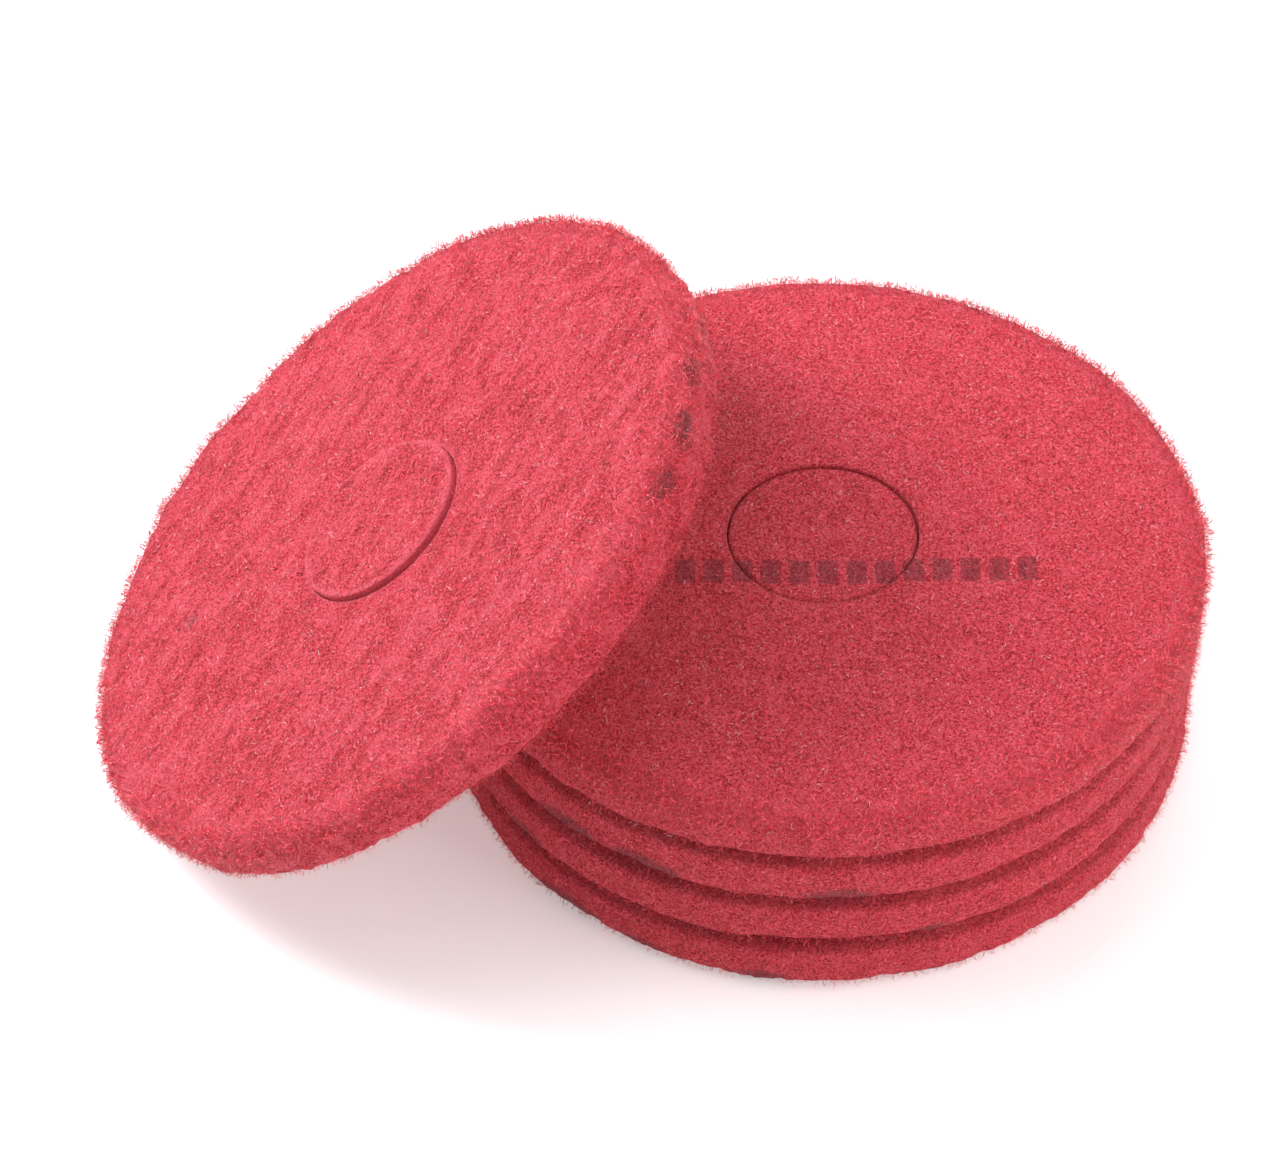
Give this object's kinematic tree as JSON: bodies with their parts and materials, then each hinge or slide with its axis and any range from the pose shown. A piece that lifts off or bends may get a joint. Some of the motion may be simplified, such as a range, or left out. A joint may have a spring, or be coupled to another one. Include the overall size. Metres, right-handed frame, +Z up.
{
  "type": "floor pad set",
  "caption": "Round red non-woven floor machine pads with die-cut centre discs, stacked on each other with one more leaning on the stack.",
  "frame": {"origin": "centre of the bottom pad's underside, on the surface that the set stands on", "axes": "+Z up through the stack; -X towards the pad that leans on it, whose slope runs in the XZ plane"},
  "size_m": [0.489, 0.331, 0.2114],
  "materials": {
    "red_nonwoven": "open matte web of crimped red fibres with a faint sparkle"
  },
  "bodies": {
    "bottom_pad": {"bottom_pad": "red_nonwoven"},
    "bottom_pad_centre_disc": {"bottom_pad_centre_disc": "red_nonwoven"},
    "second_pad": {"second_pad": "red_nonwoven"},
    "second_pad_centre_disc": {"second_pad_centre_disc": "red_nonwoven"},
    "third_pad": {"third_pad": "red_nonwoven"},
    "third_pad_centre_disc": {"third_pad_centre_disc": "red_nonwoven"},
    "top_pad": {"top_pad": "red_nonwoven"},
    "top_pad_centre_disc": {"top_pad_centre_disc": "red_nonwoven"},
    "leaning_pad": {"leaning_pad": "red_nonwoven"},
    "leaning_pad_centre_disc": {"leaning_pad_centre_disc": "red_nonwoven"}
  },
  "joints": [
    {"name": "bottom_disc_push_out", "type": "slide", "parent": "bottom_pad", "child": "bottom_pad_centre_disc", "axis": [0, 0, 1], "range_m": [0, 0.03]},
    {"name": "second_pad_lift", "type": "slide", "parent": "bottom_pad_centre_disc", "child": "second_pad", "axis": [0, 0, 1], "range_m": [0, 0.06]},
    {"name": "second_disc_push_out", "type": "slide", "parent": "second_pad", "child": "second_pad_centre_disc", "axis": [0, 0, 1], "range_m": [0, 0.03]},
    {"name": "third_pad_lift", "type": "slide", "parent": "second_pad_centre_disc", "child": "third_pad", "axis": [0, 0, 1], "range_m": [0, 0.06]},
    {"name": "third_disc_push_out", "type": "slide", "parent": "third_pad", "child": "third_pad_centre_disc", "axis": [0, 0, 1], "range_m": [0, 0.03]},
    {"name": "top_pad_lift", "type": "slide", "parent": "third_pad_centre_disc", "child": "top_pad", "axis": [0, 0, 1], "range_m": [0, 0.06]},
    {"name": "top_disc_push_out", "type": "slide", "parent": "top_pad", "child": "top_pad_centre_disc", "axis": [0, 0, 1], "range_m": [0, 0.03]},
    {"name": "leaning_pad_pull_away", "type": "slide", "parent": "top_pad", "child": "leaning_pad", "axis": [-0.585, 0, 0.8111], "range_m": [0, 0.08]},
    {"name": "leaning_disc_push_out", "type": "slide", "parent": "leaning_pad", "child": "leaning_pad_centre_disc", "axis": [-0.585, 0, 0.8111], "range_m": [0, 0.03]}
  ]
}
